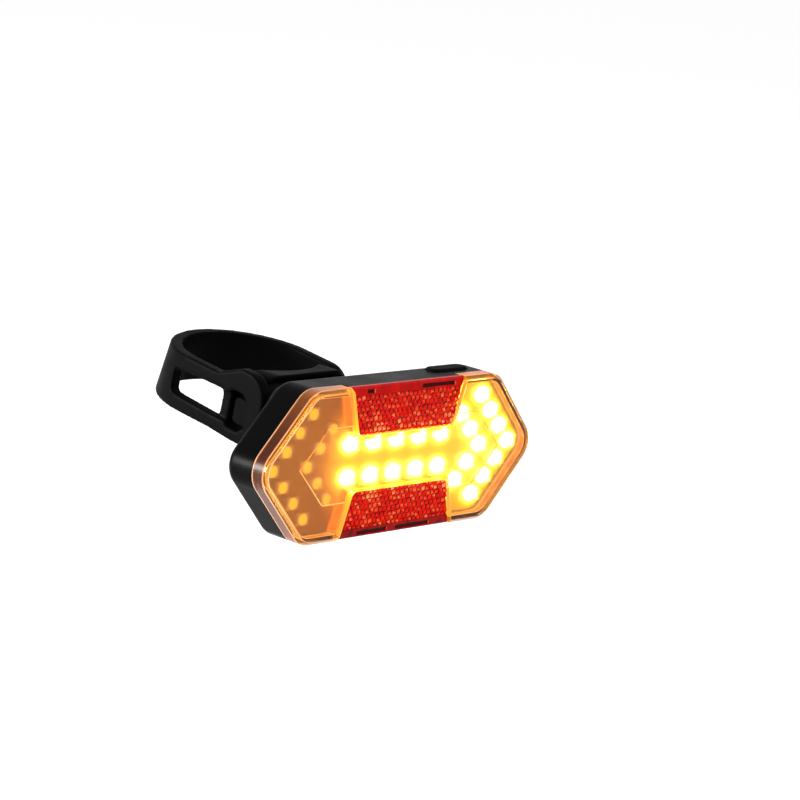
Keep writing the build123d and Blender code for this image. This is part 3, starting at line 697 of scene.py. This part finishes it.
class TAILLIGHT_OT_board(bpy.types.Operator):
    """Lamp board, with painted light from the lit diodes on it"""

    bl_idname = "taillight.board"
    bl_label = "Lamp board"

    def execute(self, context):
        settings = context.scene.taillight_diodes
        low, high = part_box("led_board")
        length, height = high.x - low.x, high.z - low.z
        bm = bmesh.new()
        bmesh.ops.create_grid(
            bm, x_segments=round(length / BOARD_CELL), y_segments=round(height / BOARD_CELL),
            size=0.5, matrix=Matrix.Diagonal((length, height, 1, 1)))
        bm.transform(Matrix.Translation(((low.x + high.x) / 2, low.y, (low.z + high.z) / 2))
                     @ Matrix.Rotation(math.radians(90), 4, "X"))
        corners = outline_of("led_board")
        for (x0, z0), (x1, z1) in zip(corners, corners[1:] + corners[:1]):
            outwards = Vector((z1 - z0, 0, x0 - x1))
            if outwards.length > SHORTEST_SIDE:
                bisect(bm, (x0, low.y, z0), outwards, clear_outer=True)
        edges = bmesh.ops.extrude_face_region(bm, geom=bm.faces[:])
        moved = [g for g in edges["geom"] if isinstance(g, bmesh.types.BMVert)]
        bmesh.ops.translate(bm, verts=moved, vec=(0, high.y - low.y, 0))
        bmesh.ops.recalc_face_normals(bm, faces=bm.faces)
        mesh = mesh_from(bm, "board")
        attribute = mesh.attributes.new("glow", "FLOAT", "POINT")
        attribute.data.foreach_set("value", painted_diode_light(mesh).astype(np.float32))
        material = lamp_board("solder_mask_brown", settings)
        place("board", mesh, [material], "light", "lamp_board", "led_board")
        return {"FINISHED"}


def diode_tree():
    """Diodes on points: a moulded body with a lens of resin in its front."""
    tree, entry, result = geometry_tree("Diodes", [
        ("Length", "NodeSocketFloat"), ("Width", "NodeSocketFloat"),
        ("Height", "NodeSocketFloat"), ("Rim", "NodeSocketFloat"),
        ("Body material", "NodeSocketMaterial"), ("Resin material", "NodeSocketMaterial")])
    size = add_node(tree, "ShaderNodeCombineXYZ", {
        "X": entry.outputs["Length"], "Y": entry.outputs["Height"], "Z": entry.outputs["Width"]})
    body = add_node(tree, "GeometryNodeMeshCube", {"Size": size.outputs[0]})
    body_done = add_node(tree, "GeometryNodeSetMaterial", {
        "Geometry": body.outputs["Mesh"], "Material": entry.outputs["Body material"]})
    face = add_node(tree, "GeometryNodeMeshCircle", {
        "Vertices": 28, "Radius": math_node(
            tree, "SUBTRACT", math_node(tree, "MULTIPLY", entry.outputs["Width"], 0.5),
            entry.outputs["Rim"])}, fill_type="NGON")
    dome = add_node(tree, "GeometryNodeExtrudeMesh", {
        "Mesh": face.outputs["Mesh"],
        "Offset Scale": math_node(tree, "MULTIPLY", entry.outputs["Height"], 0.14)})
    inner = add_node(tree, "GeometryNodeScaleElements", {
        "Geometry": dome.outputs["Mesh"], "Selection": dome.outputs["Top"], "Scale": 0.82})
    shift = add_node(tree, "ShaderNodeCombineXYZ", {
        "Y": math_node(tree, "MULTIPLY", entry.outputs["Height"], -0.5)})
    turned = add_node(tree, "GeometryNodeTransform", {
        "Geometry": inner.outputs["Geometry"], "Translation": shift.outputs[0],
        "Rotation": Euler((math.radians(90), 0, 0))})
    resin_done = add_node(tree, "GeometryNodeSetMaterial", {
        "Geometry": turned.outputs["Geometry"], "Material": entry.outputs["Resin material"]})
    diode = join(tree, body_done.outputs["Geometry"], resin_done.outputs["Geometry"])
    tree.links.new(copies(tree, entry.outputs["Geometry"], diode), result.inputs["Geometry"])
    return tree


class TAILLIGHT_OT_diodes(bpy.types.Operator):
    """The four groups of diodes, lit or unlit"""

    bl_idname = "taillight.diodes"
    bl_label = "Diodes"

    def execute(self, context):
        settings = context.scene.taillight_diodes
        lit = tuple(settings.lit_colour)
        amber = linear("#FFB92E")
        # Moulded polyamide round the chips: pale and dull, seen as a thin frame
        pale = grained("polyamide_pale", "#A87A4C", "#B88A5C", 0.5, 0.5, 0.05, 0.01)
        glowing = resin("resin_amber_lit", amber, settings.lit_strength, lit)
        # Bodies of the lit diodes: pale polyamide with a painted glow
        painted_glow_body = resin("polyamide_pale_lit", amber, settings.lit_strength * 0.4, lit)
        # Unlit diodes: amber resin with a faint painted glow
        unlit = resin("resin_amber_unlit", amber, 0.5, (1, 0.45, 0.01, 1))
        red = resin("resin_red", linear("#C8201A"), 0.0, (1, 0, 0, 1))
        groups = {
            "left_arrow_leds": (pale, unlit, "amber_diode"),
            "right_arrow_leds": (painted_glow_body, glowing, "amber_diode_lit"),
            "shaft_leds": (painted_glow_body, glowing, "amber_diode_lit"),
            "tail_leds": (pale, red, "red_diode"),
        }
        tree = diode_tree()
        for node, (body, face, slot) in groups.items():
            centres = solid_centres(node)
            points = bpy.data.meshes.new(node + "_points")
            points.from_pydata([c[:] for c in centres], [], [])
            mesh = grow(node, tree, {
                "Length": settings.body_length, "Width": settings.body_width,
                "Height": settings.body_height, "Rim": settings.rim, "Body material": body,
                "Resin material": face}, points)
            place(node.replace("leds", "diodes"), mesh, [], "light", slot, node)
        return {"FINISHED"}


def prism_tree():
    """Sheet of corner prisms cut to a solid's outline, with the solid's plain band added."""
    tree, entry, result = geometry_tree("Corner prisms", [
        ("Columns", "NodeSocketInt"), ("Rows", "NodeSocketInt"), ("Pitch", "NodeSocketFloat"),
        ("Relief", "NodeSocketFloat"), ("Thickness", "NodeSocketFloat"),
        ("Place", "NodeSocketVector"), ("Turn", "NodeSocketVector"),
        ("Outline", "NodeSocketObject"), ("Material", "NodeSocketMaterial")])
    pitch, relief = entry.outputs["Pitch"], entry.outputs["Relief"]
    radius = math_node(tree, "MULTIPLY", pitch, 1 / math.sqrt(3))
    row_gap = math_node(tree, "MULTIPLY", radius, 1.5)

    # Six-sided cell: its middle lies deep, its corners stand at one and two steps
    ring = add_node(tree, "GeometryNodeMeshCircle", {"Vertices": 6, "Radius": radius},
                    fill_type="TRIANGLE_FAN")
    position = add_node(tree, "GeometryNodeInputPosition").outputs[0]
    length = add_node(tree, "ShaderNodeVectorMath", {0: position}, operation="LENGTH")
    on_rim = math_node(tree, "GREATER_THAN", length.outputs["Value"],
                       math_node(tree, "MULTIPLY", radius, 0.5))
    parity = math_node(tree, "MODULO", add_node(tree, "GeometryNodeInputIndex").outputs[0], 2.0)
    steps = math_node(tree, "MULTIPLY", on_rim, math_node(tree, "ADD", parity, 1.0))
    step = math_node(tree, "MULTIPLY",
                     math_node(tree, "MULTIPLY", radius, math.sqrt(0.5)), relief)
    lift = add_node(tree, "ShaderNodeCombineXYZ", {
        "Z": math_node(tree, "MULTIPLY", steps, step)})
    raised = add_node(tree, "GeometryNodeSetPosition", {
        "Geometry": ring.outputs["Mesh"], "Offset": lift.outputs[0]})
    cell = add_node(tree, "GeometryNodeTransform", {
        "Geometry": raised.outputs["Geometry"], "Rotation": Euler((0, 0, math.radians(30)))})

    # Cells in staggered rows
    columns, rows = entry.outputs["Columns"], entry.outputs["Rows"]
    grid = add_node(tree, "GeometryNodeMeshGrid", {
        "Vertices X": columns, "Vertices Y": rows,
        "Size X": math_node(tree, "MULTIPLY", pitch, math_node(tree, "SUBTRACT", columns, 1.0)),
        "Size Y": math_node(tree, "MULTIPLY", row_gap, math_node(tree, "SUBTRACT", rows, 1.0))})
    split = add_node(tree, "ShaderNodeSeparateXYZ", {"Vector": position})
    row = math_node(tree, "ROUND", math_node(tree, "DIVIDE", split.outputs["Y"], row_gap))
    odd = math_node(tree, "MODULO", math_node(tree, "ABSOLUTE", row), 2.0)
    stagger = add_node(tree, "ShaderNodeCombineXYZ", {
        "X": math_node(tree, "MULTIPLY", math_node(tree, "MULTIPLY", pitch, 0.5), odd)})
    lattice = add_node(tree, "GeometryNodeSetPosition", {
        "Geometry": grid.outputs["Mesh"], "Offset": stagger.outputs[0]})
    cells = copies(tree, lattice.outputs["Geometry"], cell.outputs["Geometry"])
    sheet = add_node(tree, "GeometryNodeMergeByDistance", {
        "Geometry": cells, "Distance": CELL_MERGE_GAP})
    chance = add_node(tree, "FunctionNodeRandomValue", {"Seed": 7}, data_type="FLOAT")
    toned = add_node(tree, "GeometryNodeStoreNamedAttribute", {
        "Geometry": sheet.outputs["Geometry"], "Name": "facet", "Value": chance.outputs[1]},
        data_type="FLOAT", domain="FACE")

    # The sheet gets a back and sides, then takes its place under the front face
    thickness = entry.outputs["Thickness"]
    down = add_node(tree, "ShaderNodeCombineXYZ", {
        "Z": math_node(tree, "MULTIPLY", thickness, -1.0)})
    up = add_node(tree, "ShaderNodeCombineXYZ", {"Z": thickness})
    back = add_node(tree, "GeometryNodeTransform", {
        "Geometry": toned.outputs["Geometry"], "Translation": down.outputs[0]})
    front = add_node(tree, "GeometryNodeExtrudeMesh", {
        "Mesh": back.outputs["Geometry"], "Offset": up.outputs[0], "Offset Scale": 1.0,
        "Individual": False})
    behind = add_node(tree, "GeometryNodeFlipFaces", {"Mesh": back.outputs["Geometry"]})
    closed = add_node(tree, "GeometryNodeMergeByDistance", {
        "Geometry": join(tree, front.outputs["Mesh"], behind.outputs["Mesh"]),
        "Distance": CELL_MERGE_GAP})
    seated = add_node(tree, "GeometryNodeTransform", {
        "Geometry": closed.outputs["Geometry"], "Translation": entry.outputs["Place"],
        "Rotation": entry.outputs["Turn"]})
    outline = add_node(tree, "GeometryNodeObjectInfo", {"Object": entry.outputs["Outline"]},
                       transform_space="ORIGINAL")
    cut = add_node(tree, "GeometryNodeMeshBoolean", operation="INTERSECT", solver="EXACT")
    tree.links.new(seated.outputs["Geometry"], cut.inputs["Mesh 2"])
    tree.links.new(outline.outputs["Geometry"], cut.inputs["Mesh 2"])
    flat = add_node(tree, "GeometryNodeSetShadeSmooth", {
        "Geometry": join(tree, cut.outputs["Mesh"], entry.outputs["Geometry"]),
        "Shade Smooth": False})
    done = add_node(tree, "GeometryNodeSetMaterial", {
        "Geometry": flat.outputs["Geometry"], "Material": entry.outputs["Material"]})
    tree.links.new(done.outputs["Geometry"], result.inputs["Geometry"])
    return tree


class TAILLIGHT_OT_reflectors(bpy.types.Operator):
    """Red reflectors with corner prisms and a plain band along the outer edge"""

    bl_idname = "taillight.reflectors"
    bl_label = "Reflectors"

    def execute(self, context):
        settings = context.scene.taillight_reflectors
        red = red_acrylic("acrylic_red", tuple(settings.red))
        tree = prism_tree()
        for node, side in (("upper_reflector", 1), ("lower_reflector", -1)):
            low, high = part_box(node)
            outer = high.z if side > 0 else low.z
            band_edge = Vector((0, 0, outer - side * settings.smooth_band))
            centre, normal = front_face(node)
            band = merged_copy(node)
            cut_away(band, band_edge, Vector((0, 0, -side)))
            tone = band.faces.layers.float.new("facet")
            for face in band.faces:
                face[tone] = BAND_TONES[node]
            for left, right, near, far in CLIP_SLOTS[node]:
                spans = sorted((outer - side * near * MM, outer - side * far * MM))
                sink(band, tone, (left * MM, right * MM), spans)
            prisms = merged_copy(node)
            cut_away(prisms, band_edge, Vector((0, 0, side)))
            outline = new_object(node + "_outline", mesh_from(prisms, node + "_outline"))
            across = Vector((1, 0, 0))
            turn = Matrix((across, normal.cross(across), normal)).transposed().to_euler()
            depth = 2 * settings.pitch / math.sqrt(3) * math.sqrt(0.5) * settings.relief
            mesh = grow(node, tree, {
                "Columns": settings.columns, "Rows": settings.rows, "Pitch": settings.pitch,
                "Relief": settings.relief, "Thickness": settings.sheet_thickness,
                "Place": centre - normal * depth, "Turn": turn, "Outline": outline,
                "Material": red}, mesh_from(band, node + "_band"))
            bpy.data.objects.remove(outline)
            place(node.replace("_", "_prism_"), mesh, [], "light", "red_reflector", node)
        return {"FINISHED"}


def sink(bm, tone, across, upright):
    """Sinks a rectangle of a solid's front face, its floor in a dark tone."""
    for place_at, normal in (
            ((across[0], 0, 0), (1, 0, 0)), ((across[1], 0, 0), (1, 0, 0)),
            ((0, 0, upright[0]), (0, 0, 1)), ((0, 0, upright[1]), (0, 0, 1))):
        bisect(bm, place_at, normal)
    floor = [f for f in bm.faces if f.normal.y < -SQUARE_ON
             and across[0] < f.calc_center_median().x < across[1]
             and upright[0] < f.calc_center_median().z < upright[1]]
    bmesh.ops.inset_region(bm, faces=floor, thickness=SLOT_WALL, depth=-SLOT_DEPTH)
    for face in floor:
        face[tone] = SLOT_TONE


def front_face(node):
    """Centre and normal of the largest face at the front of a CAD node."""
    bm = merged_copy(node)
    front = max((f for f in bm.faces if f.normal.y < -SQUARE_ON), key=lambda f: f.calc_area())
    centre, normal = front.calc_center_median(), front.normal.copy()
    bm.free()
    return centre, normal


class TAILLIGHT_OT_body(bpy.types.Operator):
    """Housing, button and socket cover with their edges rounded"""

    bl_idname = "taillight.body"
    bl_label = "Housing and button"

    def execute(self, context):
        settings = context.scene.taillight_body
        # Spark-eroded ABS: near black, an even satin that greys only at a low angle
        abs_black = grained("abs_satin_black", "#030303", "#070708", 0.24, 0.33, 0.05, 0.04,
                            specular=0.016)
        # Silicone rubber: a shade paler than the housing and quite dull
        rubber = grained("silicone_matt_black", "#060607", "#0C0C0D", 0.2, 0.6, 0.06, 0.02,
                         specular=0.02)
        shell = rounded(mesh_from(merged_copy("housing_shell"), "housing"),
                        settings.housing_round)
        place("housing", shell, [abs_black], "light", "black_housing", "housing_shell")
        for node, body in (("power_button", "button"), ("socket_cover", "cover")):
            mesh = rounded(mesh_from(merged_copy(node), node), settings.silicone_round)
            place(node + "_rubber", mesh, [rubber], body, "black_rubber", node)
        return {"FINISHED"}


class TAILLIGHT_OT_holder(bpy.types.Operator):
    """Bracket, pad and strap round the post"""

    bl_idname = "taillight.holder"
    bl_label = "Bracket and strap"

    def execute(self, context):
        settings = context.scene.taillight_body
        # Glass-filled nylon: near black, dull, with a fine grain
        nylon = grained("nylon_glass_filled_black", "#030303", "#070707", 0.35, 0.5, 0.06,
                        0.03, specular=0.01)
        # Moulded rubber: black with a soft sheen along its round edges
        rubber = grained("strap_rubber_black", "#040404", "#080808", 0.3, 0.42, 0.07, 0.03,
                         specular=0.009)
        for node, passes in (("strap", settings.strap_passes),
                             ("saddle_pad", settings.pad_passes)):
            mesh = moulded(mesh_from(merged_copy(node), node), settings.cell, passes)
            place(node + "_moulded", mesh, [rubber], "holder", "black_rubber", node)
        for node, body in (("bracket_body", "holder"), ("rail_plate", "light")):
            mesh = rounded(mesh_from(merged_copy(node), node), settings.nylon_round)
            place(node + "_moulded", mesh, [nylon], body, "black_nylon", node)
        return {"FINISHED"}


class TAILLIGHT_OT_inside(bpy.types.Operator):
    """Finishes of the parts behind the lamp board"""

    bl_idname = "taillight.inside"
    bl_label = "Inner parts"

    def execute(self, context):
        # Chip packages dull black, boards glossy green, the cell in crinkled foil on soft
        # foam, connectors satin nylon, leads soft red, socket and screws bright plated steel
        epoxy = grained("epoxy_black", "#141414", "#1F1F20", 0.15, 0.6, 0.05, 0.01)
        board = grained("solder_mask_green", "#0B4A25", "#116234", 0.8, 0.35, 0.05, 0.005)
        foil = grained("pouch_foil", "#B4B6BA", "#CACCD0", 1.5, 0.32, 0.06, 0.02)
        foam = grained("foam_black", "#161616", "#262626", 0.4, 0.9, 0.04, 0.08)
        nylon_white = grained("nylon_white", "#DAD8D0", "#ECEAE2", 0.5, 0.45, 0.05, 0.01)
        nylon_black = grained("nylon_black", "#101010", "#1C1C1C", 0.4, 0.45, 0.05, 0.01)
        silicone = grained("silicone_red", "#8E1212", "#A61A18", 0.4, 0.5, 0.05, 0.01)
        steel = grained("steel_plated", "#9A9A9C", "#B4B4B6", 0.5, 0.28, 0.06, 0.005)
        steel.node_tree.nodes["Principled BSDF"].inputs["Metallic"].default_value = 1.0
        for node, material in {
                "controller_chip": epoxy, "charger_chip": epoxy, "radio_chip": epoxy,
                "radio_board": board, "guard_board": board, "battery_cell": foil,
                "battery_foam": foam, "battery_connector": nylon_white,
                "battery_leads": silicone, "switch_case": nylon_black,
                "switch_stem": nylon_black, "socket_tongue": nylon_black,
                "charge_socket": steel, "rail_screws": steel,
        }.items():
            paint(node, material)
        return {"FINISHED"}


def seen_directly(tree):
    """1 for rays from the camera, also by way of a glossy or a clear surface, otherwise 0."""
    path = tree.nodes.new("ShaderNodeLightPath")
    return math_node(tree, "MAXIMUM", path.outputs["Is Camera Ray"], math_node(
        tree, "MAXIMUM", path.outputs["Is Glossy Ray"], path.outputs["Is Transmission Ray"]))


def white_paper():
    """Matt white paper: even and bright to the eye, with a barely felt tooth."""
    material, tree, shader, coords = shader_base("paper_white")
    grain = add_node(tree, "ShaderNodeTexNoise", {"Vector": coords, "Scale": per_mm(2.0)})
    bump = add_node(tree, "ShaderNodeBump", {
        "Height": grain.outputs["Fac"], "Strength": 0.1, "Distance": 0.02 * MM})
    feed(tree, shader, {
        "Base Color": linear("#F2F2F2"), "Roughness": 0.9, "Normal": bump.outputs["Normal"],
        "Emission Color": (1, 1, 1, 1),
        "Emission Strength": math_node(tree, "MULTIPLY", seen_directly(tree), FLOOR_LIGHT)})
    return material


class TAILLIGHT_OT_stage(bpy.types.Operator):
    """Pale floor, soft lamps and the camera"""

    bl_idname = "taillight.stage"
    bl_label = "Stage"

    def execute(self, context):
        settings = context.scene.taillight_stage
        scene = context.scene
        scene.view_settings.view_transform = "Standard"
        bm = bmesh.new()
        bmesh.ops.create_grid(bm, x_segments=1, y_segments=1, size=FLOOR_HALF)
        bm.transform(Matrix.Translation((0, 0, -settings.floor_drop)))
        floor = new_object("floor", mesh_from(bm, "floor"))
        floor.data.materials.append(white_paper())

        world = bpy.data.worlds.new("studio")
        world.use_nodes = True
        scene.world = world
        sky = world.node_tree
        sky.nodes.clear()
        even, white = (
            add_node(sky, "ShaderNodeBackground", {
                "Color": linear("#FFFFFF"), "Strength": strength}).outputs[0]
            for strength in (settings.world_strength, 1.0))
        mixed = add_node(sky, "ShaderNodeMixShader", {
            "Fac": seen_directly(sky), 1: even, 2: white})
        add_node(sky, "ShaderNodeOutputWorld", {"Surface": mixed.outputs[0]})

        for name, place_at, share, width in LAMPS:
            lamp = bpy.data.lights.new(name, "AREA")
            lamp.energy = settings.key_power * share
            lamp.size = width
            obj = bpy.data.objects.new(name, lamp)
            obj.location = place_at
            obj.rotation_euler = (LIGHT_CENTRE - place_at).to_track_quat("-Z", "Y").to_euler()
            scene.collection.objects.link(obj)

        camera = bpy.data.cameras.new("camera")
        camera.lens = settings.lens_mm
        camera.sensor_width = 36.0
        camera.clip_start = 0.05
        camera.clip_end = 50.0
        up = CAMERA_RIGHT.cross(CAMERA_FORWARD)
        turn = Matrix((CAMERA_RIGHT, up, -CAMERA_FORWARD)).transposed()
        obj = bpy.data.objects.new("camera", camera)
        obj.matrix_world = Matrix.Translation(CAMERA_PLACE) @ turn.to_4x4()
        scene.collection.objects.link(obj)
        scene.camera = obj
        return {"FINISHED"}


class TAILLIGHT_PT_panel(bpy.types.Panel):
    """Sizes, colours and steps of the tail light"""

    bl_idname = "TAILLIGHT_PT_panel"
    bl_label = "Tail light"
    bl_space_type = "VIEW_3D"
    bl_region_type = "UI"
    bl_category = "Tail light"

    def draw(self, context):
        for name in SETTINGS:
            group = getattr(context.scene, name)
            for key in group.bl_rna.properties.keys():
                if key not in ("rna_type", "name"):
                    self.layout.prop(group, key)
        for operator in OPERATORS:
            self.layout.operator(operator.bl_idname)


SETTINGS = {
    "taillight_lens": LensSettings,
    "taillight_diodes": DiodeSettings,
    "taillight_reflectors": ReflectorSettings,
    "taillight_body": BodySettings,
    "taillight_stage": StageSettings,
}
OPERATORS = (
    TAILLIGHT_OT_board, TAILLIGHT_OT_diodes, TAILLIGHT_OT_reflectors, TAILLIGHT_OT_lens,
    TAILLIGHT_OT_body, TAILLIGHT_OT_holder, TAILLIGHT_OT_inside, TAILLIGHT_OT_stage,
)


def register():
    for name, group in SETTINGS.items():
        bpy.utils.register_class(group)
        setattr(bpy.types.Scene, name, PointerProperty(type=group))
    for kind in (*OPERATORS, TAILLIGHT_PT_panel):
        bpy.utils.register_class(kind)


def unregister():
    for kind in reversed((*OPERATORS, TAILLIGHT_PT_panel)):
        bpy.utils.unregister_class(kind)
    for name, group in reversed(SETTINGS.items()):
        delattr(bpy.types.Scene, name)
        bpy.utils.unregister_class(group)


def main():
    """Builds every piece in order."""
    register()
    for operator in OPERATORS:
        group, name = operator.bl_idname.split(".")
        getattr(getattr(bpy.ops, group), name)()


if __name__ == "__main__":
    main()
